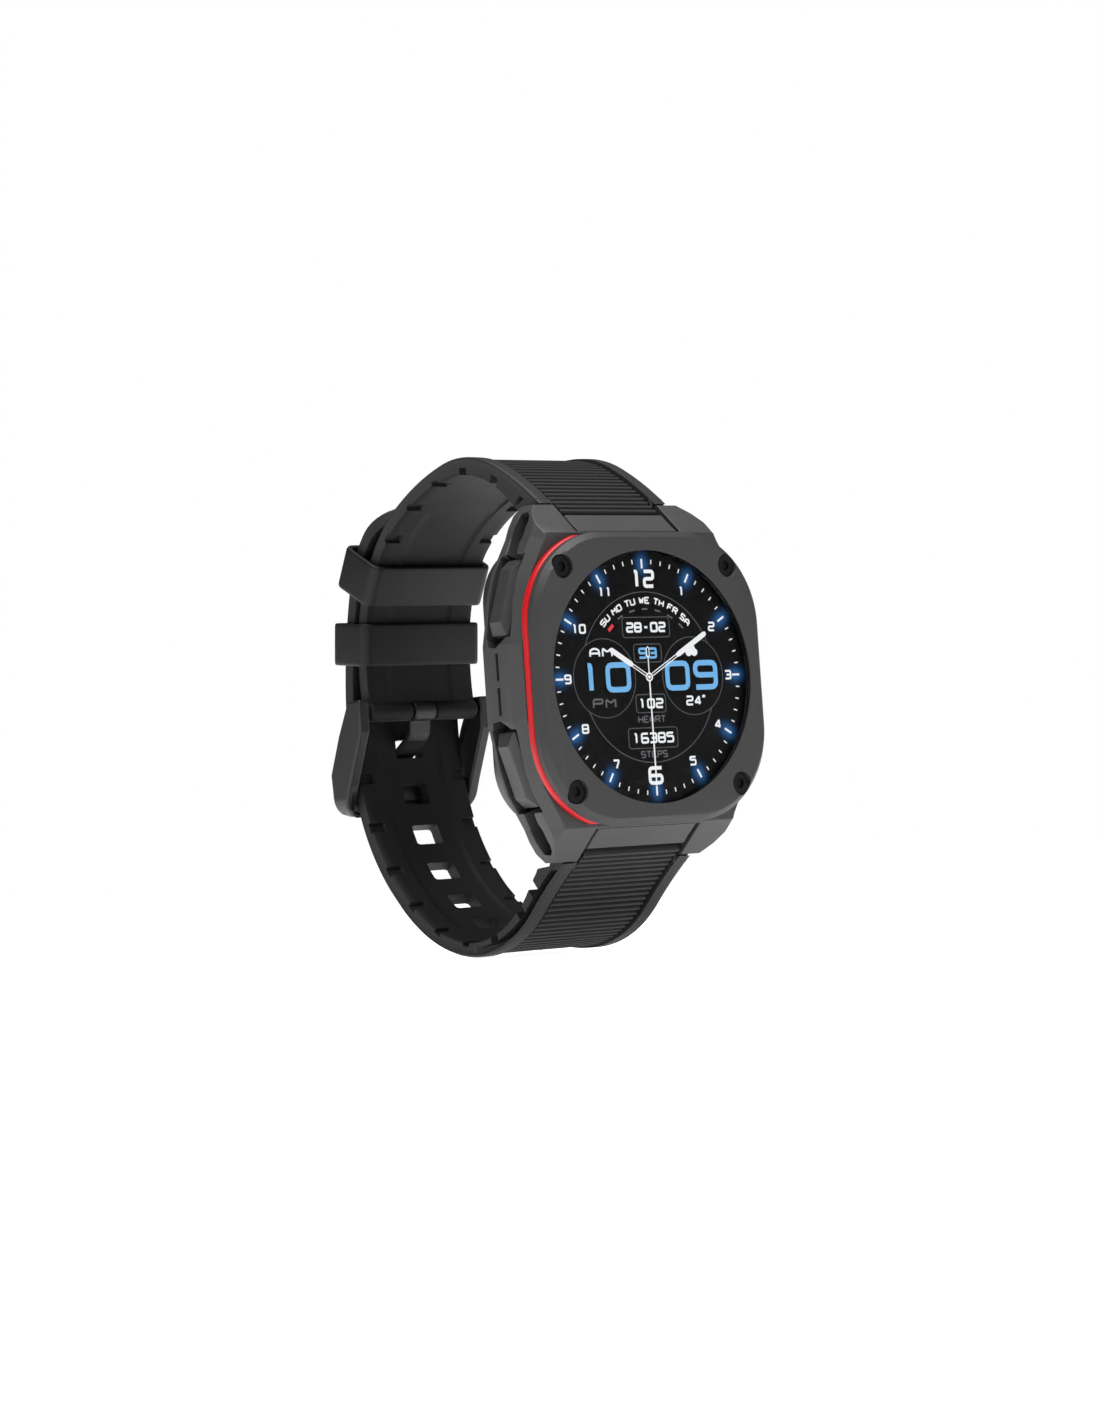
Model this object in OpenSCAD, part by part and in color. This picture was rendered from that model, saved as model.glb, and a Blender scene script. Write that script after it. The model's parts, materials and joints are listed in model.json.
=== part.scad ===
// A rugged smartwatch with its strap buckled: round display under a square bezel plate,
// four long side pushers, a two-part rubber strap, two keepers and a tang buckle.
// The dial faces -Y, +X is 3 o'clock and +Z is 12 o'clock. The origin is the middle of
// the wrist opening. Sub-parts are drawn in head coordinates, whose origin is the middle
// of the bezel plate's front face and whose Y is the depth behind that face.

/* [Head] */
// Half the width of the square bezel plate
plate_half = 21.3; // [21.1:0.1:21.5]
// Corner radius of the bezel plate
plate_corner = 13.8; // [13:0.2:14.4]
// Thickness of the bezel plate
plate_t = 1.8; // [1.7:0.1:1.9]
// Radius of the round display opening
opening_r = 18.5; // [18.2:0.1:18.6]
// Depth of the red trim ring behind the plate
trim_t = 1.3; // [1.2:0.1:1.4]
// Depth from the plate's front face to the back of the mid case
case_depth = 11.5; // [11.4:0.1:11.6]
// Radius of the round cavity that holds the works
cavity_r = 19.3; // [19.25:0.05:19.35]

/* [Pushers] */
// Length of a side pusher along the case edge
pusher_len = 11.6; // [10.8:0.2:11.6]
// How far a pusher goes in
pusher_travel = 0.6; // [0.4:0.1:0.6]

/* [Strap] */
// Strap width at the lugs
strap_w_lug = 24; // [23.6:0.1:24.2]
// Strap width at the buckle
strap_w_back = 20.5; // [20:0.1:20.6]
// Strap thickness
strap_t = 2.2; // [2:0.1:2.4]
// Distance between the adjustment holes
hole_pitch = 7.2; // [6.9:0.1:7.2]
// Number of adjustment holes
hole_count = 6; // [1:1:6]

/* [Buckle] */
// Diameter of the spring bars
bar_d = 1.5; // [1.4:0.05:1.55]
// Width of the buckle tongue
tongue_w = 4; // [3.4:0.1:4]
// Length of each keeper along the strap
keeper_len = 6.6; // [5.6:0.2:6.8]

/* [Hidden] */
$fn = 64;

// Where the wrist opening's middle is in head coordinates
wrist_depth = 35;
wrist_drop = -2.5;

// The stack of the head, as depths behind the plate's front face
plate_chamfer = 0.9;
glass_front = 0.3;
glass_t = 0.8;
glass_r = opening_r + 0.7;
panel_front = glass_front + glass_t + 0.1;
panel_back = plate_t + trim_t - 0.1;
trim_back = plate_t + trim_t;
trim_reach = 20.9;
chassis_r = cavity_r - 0.1;
cover_t = 1.4;
boss_back = case_depth + 2.5;
boss_r = 11.5;
window_r = 9;

// Bezel and back cover screws
bezel_screw_at = [15.45, 16.2];
cover_screw_at = [15.8, 15.8];
screw_head_r = 1.6;
screw_sunk = 0.55;
screw_r = 0.7;

// Outline of a quarter of the mid case, from 3 o'clock towards the lug
case_quarter = [[22.3, 0], [22.3, 5.6], [21.7, 8.5], [21.1, 12.3], [19.9, 16], [18.4, 18.6],
    [16.9, 21.2], [16.2, 22.9], [15.1, 24.7], [13.5, 26.1]];
lug_top = 26.4;
lug_wall = 21.6;
slope_start = 3.3;
lug_inner = 9.8;
tab_half = 9.2;
strap_gap = 0.1;
bezel_taper = 0.962;

// Side pushers: their face is a line this far from the axis, turned by this angle
pusher_tilt = 18.6;
pusher_face = 23.5;
pusher_mid = 5.6;
pusher_t = 2.1;
pusher_depth = [6.5, 10.2];
slot_floor = 20.7;
slot_depth = [5.2, 10.8];

// The open channel from a pusher out to the lug, as [depth, distance along the pusher]
channel_edge = [[6.3, 5.4], [7.3, 6.7], [7.6, 8.1], [7.3, 9.5], [7.1, 11.6], [7.5, 12.7],
    [8.4, 13.4], [9.7, 13.2], [9.9, 11.2], [10, 9.1], [9.6, 6.5], [10.3, 5.2]];
// The channel is deeper from here on towards the lug
channel_deep_from = 6.9;
channel_deep_floor = 18.5;
// The pocket at the other end of the slot, and how the slot's own outline closes there
pocket_edge = [[10.8, -5.9], [10.2, -7.5], [8.4, -7.7], [5.4, -5.9], [5.4, 4.8]];
seal_t = 0.7;
stem_r = 0.8;
switch_tip = 18.5;
stem_end = switch_tip + pusher_travel + 0.1;

// Spring bar centres: depth behind the plate and height
lug_bar_at = [9.7, 23.9];
buckle_bar_at = [58.3, -0.75];
bar_r = bar_d / 2;
bar_tip_r = 0.4;
fit = 0.05;

// Strap centre lines: where they start, the heading in degrees, and then the length and
// the turn of each stretch
upper_start = [9, 25];
upper_heading = 40.5;
upper_run = [[12.6, -12.7], [13.4, -38.6], [14.6, -16.9], [21.4, -52], [13, -18]];
lower_start = [9, -25.2];
lower_heading = -34.7;
lower_run = [[11.5, -9.3], [17.6, 48], [18.4, 34.8], [19.5, 34.6], [13.2, 17.1], [22.9, 17.4],
    [14, 48.3]];
taper_depth = [28, 53];
eye_r = 1.55;
hole_w = 5;
hole_len = 3.7;
first_hole = 76.1;

// Keepers: distance along the upper strap, wall, and room to the wrist side and the outside
keeper_upper_at = 54.5;
keeper_lower_at = 64.7;
keeper_wall = 0.9;
keeper_upper_gap = [1.7, 4.95];
keeper_lower_gap = [1.5, 4.8];

// Buckle frame and tongue outlines: depth behind the plate and height
arm_inner = 10.8;
arm_outer = 12.8;
frame_corner = 3;
arm_outline = [[56.9, 1.2], [57.1, -3.8], [60.9, -11.9], [62.6, -16], [63.6, -16.8],
    [64.8, -16.7], [65.6, -15.6], [66, -10], [63.2, -4], [60.2, 1.2]];
crossbar_outline = [[64, -11.6], [65.1, -11.6], [65.7, -13.6], [65.6, -16], [64.8, -16.9],
    [63.2, -16.9], [63.6, -13.4]];
tongue_line = [[58.9, -1.8], [59.3, -4.2], [60.1, -5], [64.7, -7.9], [66, -10.2], [66.6, -13.2],
    [66.5, -15.8]];
tongue_t = 0.9;
tongue_eye_r = 1.6;

// The arc of a stretch, as points; the last point starts the next stretch
function heading_at(run, h, i) = i == 0 ? h : heading_at(run, h, i - 1) + run[i - 1][1];
function arc_step(p, h, len, turn, f) =
    let (r = len / (turn * PI / 180))
    [p[0] + r * (sin(h + turn * f) - sin(h)), p[1] - r * (cos(h + turn * f) - cos(h))];
function start_at(run, p, h, i) = i == 0 ? p :
    arc_step(start_at(run, p, h, i - 1), heading_at(run, h, i - 1), run[i - 1][0],
        run[i - 1][1], 1);
function length_to(run, i) = i == 0 ? 0 : length_to(run, i - 1) + run[i - 1][0];
function stretch_of(run, s, i = 0) =
    i == len(run) - 1 || s <= length_to(run, i + 1) ? i : stretch_of(run, s, i + 1);

// A point beside the strap's centre line, at distance s along it and offset d to the left
function strap_point(run, p, h, s, d) =
    let (i = stretch_of(run, s), f = (s - length_to(run, i)) / run[i][0],
        q = arc_step(start_at(run, p, h, i), heading_at(run, h, i), run[i][0], run[i][1], f),
        a = heading_at(run, h, i) + run[i][1] * f)
    [q[0] - d * sin(a), q[1] + d * cos(a)];
function strap_heading(run, h, s) =
    let (i = stretch_of(run, s))
    heading_at(run, h, i) + run[i][1] * (s - length_to(run, i)) / run[i][0];
function band(run, p, h, s0, s1, t, n = 30) = concat(
    [for (i = [0 : n]) strap_point(run, p, h, s0 + (s1 - s0) * i / n, t / 2)],
    [for (i = [n : -1 : 0]) strap_point(run, p, h, s0 + (s1 - s0) * i / n, -t / 2)]);
function mirrored(q) = concat(q, [for (i = [len(q) - 1 : -1 : 0]) [-q[i][0], q[i][1]]]);

// Head coordinates to the object's own
module head() {
    translate([0, -wrist_depth, -wrist_drop]) children();
}
// A flat outline drawn as [x, z], from depth y0 back to depth y1
module slab(y0, y1) {
    translate([0, y1, 0]) rotate([90, 0, 0]) linear_extrude(y1 - y0) children();
}
// An outline drawn as [depth, height], carried across from x0 to x1
module across(x0, x1) {
    translate([x0, 0, 0]) rotate([90, 0, 90]) linear_extrude(x1 - x0) children();
}
module disc(r, y0, y1) {
    translate([0, y1, 0]) rotate([90, 0, 0]) cylinder(r = r, h = y1 - y0);
}
module ring(outer, inner, y0, y1) {
    difference() {
        disc(outer, y0, y1);
        disc(inner, y0 - 1, y1 + 1);
    }
}
module bar(r, x0, x1, at) {
    translate([x0, at[0], at[1]]) rotate([0, 90, 0]) cylinder(r = r, h = x1 - x0);
}
module round_square(half, r) {
    square([2 * half, 2 * (half - r)], center = true);
    square([2 * (half - r), 2 * half], center = true);
    for (sx = [-1, 1], sz = [-1, 1]) translate([sx * (half - r), sz * (half - r)]) circle(r);
}
module at_corners(at) {
    for (sx = [-1, 1], sz = [-1, 1]) translate([sx * at[0], 0, sz * at[1]]) children();
}
// A side pusher's own place: +X is outwards, Z runs along the pusher
module pusher_place(side, end) {
    mirror([side < 0 ? 1 : 0, 0, 0]) mirror([0, 0, end < 0 ? 1 : 0])
        rotate([0, -pusher_tilt, 0]) translate([0, 0, pusher_mid]) children();
}
module each_pusher() {
    for (side = [-1, 1], end = [-1, 1]) pusher_place(side, end) children();
}
// A block from depth y0 to y1, between x0 and x1 and this long along Z
module block(x0, x1, y0, y1, length) {
    translate([x0, y0, -length / 2]) cube([x1 - x0, y1 - y0, length]);
}

// One strip of the chamfered plate: its section is drawn as [across, depth]
module chamfered_strip(half, length) {
    linear_extrude(length, center = true)
        polygon([[-half + plate_chamfer, 0], [half - plate_chamfer, 0], [half, plate_chamfer],
            [half, plate_t], [-half, plate_t], [-half, plate_chamfer]]);
}
module chamfered_plate() {
    straight = 2 * (plate_half - plate_corner);
    chamfered_strip(plate_half, straight);
    rotate([0, 90, 0]) chamfered_strip(plate_half, straight);
    at_corners([straight / 2, straight / 2]) {
        disc(plate_corner, plate_chamfer, plate_t);
        translate([0, plate_chamfer, 0]) rotate([90, 0, 0])
            cylinder(r1 = plate_corner, r2 = plate_corner - plate_chamfer, h = plate_chamfer);
    }
}

module bezel_plate() {
    color([0.25, 0.25, 0.25]) head() difference() {
        chamfered_plate();
        disc(opening_r, -1, glass_front);
        disc(glass_r + fit, glass_front, plate_t + 1);
        at_corners(bezel_screw_at) {
            disc(screw_head_r + 0.15, -1, 1.1);
            disc(screw_r + 0.1, 0, plate_t + 1);
        }
    }
}

module bezel_screws() {
    color([0.12, 0.12, 0.12]) head() at_corners(bezel_screw_at) difference() {
        union() {
            disc(screw_head_r, screw_sunk, 1.1);
            disc(screw_r, 1.1, 7);
        }
        disc(0.75, 0, 0.95);
    }
}

module red_trim_ring() {
    color([0.8, 0.1, 0.1]) head() difference() {
        intersection() {
            slab(plate_t, trim_back) round_square(plate_half + 0.2, plate_corner + 0.1);
            block(-30, 30, plate_t, trim_back, 2 * trim_reach);
        }
        disc(cavity_r + 0.6, 0, trim_back + 1);
        at_corners(bezel_screw_at) disc(screw_r + 0.1, 0, trim_back + 1);
    }
}

module cover_glass() {
    color([0.05, 0.06, 0.08, 0.4]) head() disc(glass_r, glass_front, glass_front + glass_t);
}

module glass_gasket() {
    color([0.08, 0.08, 0.08]) head() ring(glass_r, glass_r - 0.5, glass_front + glass_t, plate_t);
}

module display_panel() {
    color([0.02, 0.02, 0.03]) head() disc(glass_r - 0.6, panel_front, panel_back);
}

module case_blank() {
    half = mirrored(case_quarter);
    outline = concat(half, [for (i = [len(half) - 2 : -1 : 1]) [half[i][0], -half[i][1]]]);
    taper_back = 5.4;
    slab(taper_back, case_depth) polygon(outline);
    translate([0, taper_back, 0]) rotate([90, 0, 0])
        linear_extrude(taper_back - trim_back, scale = bezel_taper) polygon(outline);
}

module mid_case() {
    slope_cut = [[trim_back - 1, 21.4], [slope_start, 21.4], [9.1, lug_top + 0.2], [9.1, 30],
        [trim_back - 1, 30]];
    color([0.26, 0.27, 0.26]) head() difference() {
        case_blank();
        disc(cavity_r, trim_back - 1, case_depth + 1);
        for (s = [0, 1]) mirror([0, 0, s]) {
            across(-20, 20) polygon(slope_cut);
            translate([-lug_inner, 0, lug_wall]) cube([2 * lug_inner, 20, 10]);
            bar(bar_tip_r + fit, -lug_inner - 1.2, lug_inner + 1.2, lug_bar_at);
        }
        each_pusher() {
            block(slot_floor, 30, slot_depth[0], slot_depth[1], pusher_len + 1);
            translate([slot_floor - seal_t, 0, 0]) rotate([90, 0, 90]) linear_extrude(10)
                polygon(concat(channel_edge, pocket_edge));
            intersection() {
                translate([channel_deep_floor, 0, 0]) rotate([90, 0, 90]) linear_extrude(10)
                    polygon(channel_edge);
                translate([10, 0, channel_deep_from]) cube([30, 20, 20]);
            }
            bar(stem_r + fit, 10, 30, [8.1, 0]);
            bar(1.55, slot_floor - seal_t, 30, [8.1, 0]);
        }
        for (z = [-2.5, 2.5]) translate([-25, 8.3, z]) block(0, 4.5, -0.3, 0.3, 4);
        bar(0.4, 18, 30, [8.3, 0]);
        at_corners(bezel_screw_at) disc(screw_r, 0, 7.2);
        at_corners(cover_screw_at) disc(screw_r, 8.2, case_depth + 1);
        ring(20.4, 19.7, case_depth - 0.5, case_depth + 1);
    }
}

module chassis() {
    color([0.35, 0.36, 0.38]) head() difference() {
        union() {
            disc(chassis_r, trim_back, 9.6);
            disc(chassis_r, plate_t, trim_back);
        }
        disc(chassis_r - 0.5, 0, trim_back);
        disc(chassis_r - 1, trim_back + 0.7, 10);
        each_pusher() block(15, 25, 6.4, 10, 3.4);
        block(-25, -15, 7, 9, 10);
        bar(1, 15, 25, [8.3, 0]);
    }
}

module main_board() {
    color([0.05, 0.3, 0.15]) head() {
        disc(17.9, 8.7, 9.4);
        translate([-8, 9.4, -2]) cube([7, 0.7, 7]);
        translate([2, 9.4, 1]) cube([5, 0.6, 5]);
        translate([3, 9.4, -9]) cube([4, 0.6, 3]);
    }
}

module battery() {
    color([0.75, 0.75, 0.7]) head() translate([-9, 4, -11]) cube([21, 4.3, 22]);
}

module vibration_motor() {
    color([0.7, 0.7, 0.72]) head() {
        bar(1.6, -5, 3, [5.8, -13.6]);
        bar(0.4, 3, 5.2, [5.8, -13.6]);
        intersection() {
            bar(1.5, 3.6, 5.2, [5.8, -13.6]);
            translate([3.6, 4, -16]) cube([2, 4, 2.6]);
        }
    }
}

module speaker() {
    color([0.15, 0.15, 0.16]) head() translate([-15.8, 4, -4.5]) cube([5.4, 4, 9]);
}

module microphone() {
    color([0.75, 0.7, 0.5]) head() translate([13.2, 7.3, -1.5]) cube([3, 1.2, 3]);
}

module antenna() {
    color([0.8, 0.5, 0.25]) head() intersection() {
        ring(17.9, 17.4, 4.2, 8.2);
        translate([-12, 0, 10]) cube([24, 12, 10]);
    }
}

module sensor_board() {
    color([0.05, 0.25, 0.3]) head() {
        disc(8.4, 10.4, 11.1);
        for (x = [-3, 3]) translate([x, 0, 0]) disc(0.9, 11.1, 11.7);
        translate([-1.2, 11.1, 2]) cube([2.4, 0.6, 2.4]);
    }
}

module sensor_window() {
    color([0.05, 0.05, 0.06, 0.6]) head() disc(window_r, boss_back - 0.8, boss_back + 0.2);
}

module back_cover() {
    color([0.12, 0.12, 0.13]) head() difference() {
        union() {
            slab(case_depth, case_depth + cover_t) round_square(20.6, 9);
            disc(boss_r, case_depth + 0.5, boss_back);
        }
        disc(window_r - 1, case_depth - 1, boss_back + 1);
        disc(window_r + fit, boss_back - 0.8, boss_back + 1);
        at_corners(cover_screw_at) {
            disc(screw_r + 0.1, case_depth - 1, 20);
            disc(1.3, case_depth + 0.7, 20);
        }
        for (x = [-2.5, 2.5]) translate([x, 0, -15]) disc(1 + fit, case_depth - 1, 20);
    }
}

module back_gasket() {
    color([0.5, 0.15, 0.1]) head() ring(20.35, 19.75, case_depth - 0.5, case_depth);
}

module back_cover_screws() {
    color([0.5, 0.5, 0.52]) head() at_corners(cover_screw_at) {
        disc(1.25, case_depth + 0.7, case_depth + cover_t);
        disc(screw_r, 8.4, case_depth + 0.7);
    }
}

module charging_contacts() {
    color([0.85, 0.7, 0.3]) head() for (x = [-2.5, 2.5]) translate([x, 0, -15])
        disc(1, 9.5, case_depth + cover_t + 0.1);
}

// A long push button: a bar with chamfered ends and front, and a stem that goes inwards
module pusher(side, end) {
    back_face = pusher_face - pusher_t;
    half = pusher_len / 2;
    color([0.28, 0.28, 0.28]) head() pusher_place(side, end) {
        intersection() {
            translate([0, pusher_depth[1], 0]) rotate([90, 0, 0])
                linear_extrude(pusher_depth[1] - pusher_depth[0])
                polygon([[back_face, -half], [pusher_face - 1, -half], [pusher_face, -half + 1.8],
                    [pusher_face, half - 1.8], [pusher_face - 1, half], [back_face, half]]);
            linear_extrude(30, center = true)
                polygon([[10, pusher_depth[0]], [pusher_face - 1.2, pusher_depth[0]],
                    [pusher_face, pusher_depth[0] + 1], [pusher_face, 20], [10, 20]]);
        }
        bar(stem_r, stem_end, back_face + 0.3, [8.1, 0]);
    }
}
module pusher_upper_left() {
    pusher(-1, 1);
}
module pusher_lower_left() {
    pusher(-1, -1);
}
module pusher_upper_right() {
    pusher(1, 1);
}
module pusher_lower_right() {
    pusher(1, -1);
}

module pusher_seals() {
    color([0.1, 0.1, 0.1]) head() each_pusher() difference() {
        bar(1.5, slot_floor - seal_t, slot_floor, [8.1, 0]);
        bar(stem_r + fit, 10, 30, [8.1, 0]);
    }
}

module pusher_switches() {
    color([0.6, 0.6, 0.62]) head() each_pusher() {
        block(16.4, 17.9, 6.7, 8.65, 2.8);
        bar(0.6, 17.9, switch_tip, [7.9, 0]);
    }
}

module spring_bar(at, half, tip) {
    color([0.7, 0.7, 0.72]) head() {
        bar(bar_r, -half, half, at);
        for (s = [-1, 1]) bar(bar_tip_r, s > 0 ? half : -half - tip, s > 0 ? half + tip : -half, at);
    }
}
module lug_bar_upper() {
    spring_bar(lug_bar_at, lug_inner - 0.15, 1.1);
}
module lug_bar_lower() {
    spring_bar([lug_bar_at[0], -lug_bar_at[1]], lug_inner - 0.15, 1.1);
}
module buckle_bar() {
    spring_bar(buckle_bar_at, arm_inner - 0.15, 1.1);
}

// Narrows a strap half from the lug width to the buckle width
module strap_taper() {
    lug = strap_w_lug / 2;
    back = strap_w_back / 2;
    near = taper_depth[0];
    far = taper_depth[1];
    intersection() {
        children();
        translate([0, 0, -60]) linear_extrude(120) polygon([[-lug, 0], [-lug, near], [-back, far],
            [-back, 80], [back, 80], [back, far], [lug, near], [lug, 0]]);
    }
}
// The end block that holds the spring bar between the lugs, for the upper strap
module lug_tab() {
    color([0.1, 0.1, 0.1]) across(-tab_half, tab_half)
        polygon([[4.2, lug_wall + strap_gap], [11.3, lug_wall + strap_gap], [11.3, lug_top],
            [9.1, lug_top]]);
}
module strap_blank(run, start, heading, s1) {
    difference() {
        strap_taper() across(-20, 20) polygon(band(run, start, heading, 0, s1, strap_t));
        translate([-30, 0, -lug_top - strap_gap]) cube([60, 30, 2 * (lug_top + strap_gap)]);
    }
}

module strap_upper() {
    run_len = length_to(upper_run, len(upper_run));
    color([0.1, 0.1, 0.1]) head() difference() {
        union() {
            strap_blank(upper_run, upper_start, upper_heading, run_len);
            lug_tab();
            across(-tab_half, tab_half)
                polygon(band(upper_run, upper_start, upper_heading, 0.5, 4, strap_t, 4));
            bar(eye_r, -strap_w_back / 2, strap_w_back / 2, buckle_bar_at);
        }
        bar(bar_r + fit, -20, 20, lug_bar_at);
        bar(bar_r + fit, -20, 20, buckle_bar_at);
        translate([-tongue_w / 2 - 0.3, 50, buckle_bar_at[1] - 6])
            cube([tongue_w + 0.6, 20, 6 + tongue_eye_r + 0.2]);
    }
}

module strap_lower() {
    run_len = length_to(lower_run, len(lower_run));
    color([0.1, 0.1, 0.1]) head() difference() {
        union() {
            strap_blank(lower_run, lower_start, lower_heading, run_len);
            mirror([0, 0, 1]) lug_tab();
            across(-tab_half, tab_half)
                polygon(band(lower_run, lower_start, lower_heading, 0.5, 4, strap_t, 4));
        }
        bar(bar_r + fit, -20, 20, [lug_bar_at[0], -lug_bar_at[1]]);
        for (i = [0 : hole_count - 1]) {
            s = first_hole - i * hole_pitch;
            at = strap_point(lower_run, lower_start, lower_heading, s, 0);
            translate([0, at[0], at[1]]) rotate([strap_heading(lower_run, lower_heading, s), 0, 0])
                cube([hole_w, hole_len, 10], center = true);
        }
    }
}

// A loop around both strap layers, centred at distance s along the upper strap
module keeper(s, inner, outer) {
    at = strap_point(upper_run, upper_start, upper_heading, s, 0);
    half = strap_w_back / 2 + 0.3;
    color([0.14, 0.14, 0.14]) head()
        translate([0, at[0], at[1]]) rotate([strap_heading(upper_run, upper_heading, s), 0, 0])
        difference() {
            translate([-half - keeper_wall, -keeper_len / 2, -inner - keeper_wall])
                cube([2 * (half + keeper_wall), keeper_len, inner + outer + 2 * keeper_wall]);
            translate([-half, -20, -inner]) cube([2 * half, 40, inner + outer]);
        }
}
module keeper_upper() {
    keeper(keeper_upper_at, keeper_upper_gap[0], keeper_upper_gap[1]);
}
module keeper_lower() {
    keeper(keeper_lower_at, keeper_lower_gap[0], keeper_lower_gap[1]);
}

// The frame seen from behind the wrist: a plate with two round lower corners
module frame_face() {
    foot = arm_outline[4][1] + frame_corner;
    translate([-arm_outer, foot]) square([2 * arm_outer, 20]);
    translate([frame_corner - arm_outer, foot - frame_corner])
        square([2 * (arm_outer - frame_corner), frame_corner + 1]);
    for (s = [-1, 1]) translate([s * (arm_outer - frame_corner), foot]) circle(frame_corner);
}
module buckle_frame() {
    color([0.16, 0.16, 0.16]) head() difference() {
        intersection() {
            union() {
                for (s = [0, 1]) mirror([s, 0, 0]) across(arm_inner, arm_outer) polygon(arm_outline);
                across(-arm_outer, arm_outer) polygon(crossbar_outline);
            }
            slab(50, 70) frame_face();
        }
        bar(bar_tip_r + fit, -arm_inner - 1.2, arm_inner + 1.2, buckle_bar_at);
    }
}

// One straight stretch of the tongue's side outline, with round ends
module tongue_stretch(a, b) {
    length = norm(b - a);
    translate(a) rotate(atan2(b[1] - a[1], b[0] - a[0])) {
        translate([0, -tongue_t / 2]) square([length, tongue_t]);
        circle(tongue_t / 2);
        translate([length, 0]) circle(tongue_t / 2);
    }
}
module buckle_tongue() {
    color([0.2, 0.2, 0.2]) head() difference() {
        across(-tongue_w / 2, tongue_w / 2) {
            translate(buckle_bar_at) circle(tongue_eye_r);
            for (i = [0 : len(tongue_line) - 2]) tongue_stretch(tongue_line[i], tongue_line[i + 1]);
        }
        bar(bar_r + fit, -5, 5, buckle_bar_at);
    }
}

bezel_plate();
bezel_screws();
red_trim_ring();
cover_glass();
glass_gasket();
display_panel();
mid_case();
chassis();
main_board();
battery();
vibration_motor();
speaker();
microphone();
antenna();
sensor_board();
sensor_window();
back_cover();
back_gasket();
back_cover_screws();
charging_contacts();
pusher_upper_left();
pusher_lower_left();
pusher_upper_right();
pusher_lower_right();
pusher_seals();
pusher_switches();
lug_bar_upper();
lug_bar_lower();
strap_upper();
strap_lower();
keeper_upper();
keeper_lower();
buckle_bar();
buckle_frame();
buckle_tongue();
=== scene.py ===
"""A rugged smartwatch with its strap buckled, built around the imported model.

Lengths are millimetres in head coordinates until a mesh is made: the origin is the middle of
the bezel plate's front face, +x is 3 o'clock, y is the depth behind that face, +z is 12 o'clock.
"""

# %% [markdown]
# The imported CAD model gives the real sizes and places. Everything below is drawn around it, so the
# first step loads it and finds the origin that the head of the watch is drawn from.

# %% Start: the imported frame
import json

import bmesh
import bpy
import numpy as np
from mathutils import Matrix, Vector

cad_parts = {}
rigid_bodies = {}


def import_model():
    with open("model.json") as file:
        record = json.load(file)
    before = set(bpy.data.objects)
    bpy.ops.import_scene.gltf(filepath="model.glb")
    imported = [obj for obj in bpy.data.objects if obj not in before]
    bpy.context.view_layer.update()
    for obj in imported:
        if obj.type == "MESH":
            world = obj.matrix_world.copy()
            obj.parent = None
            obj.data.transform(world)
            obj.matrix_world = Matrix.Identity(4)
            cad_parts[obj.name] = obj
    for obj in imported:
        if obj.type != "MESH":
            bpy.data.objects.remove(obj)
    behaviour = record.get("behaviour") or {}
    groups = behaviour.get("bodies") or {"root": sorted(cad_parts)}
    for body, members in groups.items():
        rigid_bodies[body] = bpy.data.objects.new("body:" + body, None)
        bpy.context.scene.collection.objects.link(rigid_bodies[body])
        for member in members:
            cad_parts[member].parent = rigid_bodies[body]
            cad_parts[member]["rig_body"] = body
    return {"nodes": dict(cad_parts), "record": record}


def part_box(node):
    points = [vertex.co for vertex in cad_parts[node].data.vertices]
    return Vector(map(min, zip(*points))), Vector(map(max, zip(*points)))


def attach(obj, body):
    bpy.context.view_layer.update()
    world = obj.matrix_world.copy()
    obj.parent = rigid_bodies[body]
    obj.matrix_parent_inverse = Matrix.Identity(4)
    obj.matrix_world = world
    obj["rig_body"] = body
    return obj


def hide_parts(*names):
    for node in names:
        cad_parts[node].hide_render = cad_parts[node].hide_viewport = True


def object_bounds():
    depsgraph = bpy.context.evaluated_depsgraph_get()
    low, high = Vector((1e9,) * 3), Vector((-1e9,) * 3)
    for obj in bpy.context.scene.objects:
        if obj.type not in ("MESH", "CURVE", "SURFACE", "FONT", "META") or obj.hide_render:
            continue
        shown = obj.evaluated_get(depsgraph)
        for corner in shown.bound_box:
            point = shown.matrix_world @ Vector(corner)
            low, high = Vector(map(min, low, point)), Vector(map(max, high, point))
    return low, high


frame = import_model()
cad_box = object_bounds()
MM = 0.001
plate_low, plate_high = (np.array(corner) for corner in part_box("bezel_plate"))
HEAD = np.array([0.0, plate_low[1], (plate_low[2] + plate_high[2]) / 2])
print("head origin in the frame, m:", HEAD.round(4), "plate width:", plate_high[0] - plate_low[0])

# %% [markdown]
# The camera looks at the watch from the left of its face and from a touch below, with a long
# lens. Its place is worked out from two angles, a distance and the point that it faces, and the
# picture is rolled a little, so the case leans to the left.

# %% Camera
LENS = 95.44
AZIMUTH, ELEVATION, ROLL = np.radians([-37.92, -2.32, -3.87])
DISTANCE = 0.54905
OFF_CENTRE = np.array([-0.0152, -0.00505])


def view_axes(azimuth, elevation, roll):
    """The camera's right, up and backward directions: backward points from the object to the
    camera, right is level, and both right and up are then turned by the roll."""
    back = np.array([np.sin(azimuth) * np.cos(elevation), -np.cos(azimuth) * np.cos(elevation),
                     np.sin(elevation)])
    level = np.array([np.cos(azimuth), np.sin(azimuth), 0.0])
    upright = np.cross(back, level)
    right = np.cos(roll) * level + np.sin(roll) * upright
    return right, np.cross(back, right), back


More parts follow.
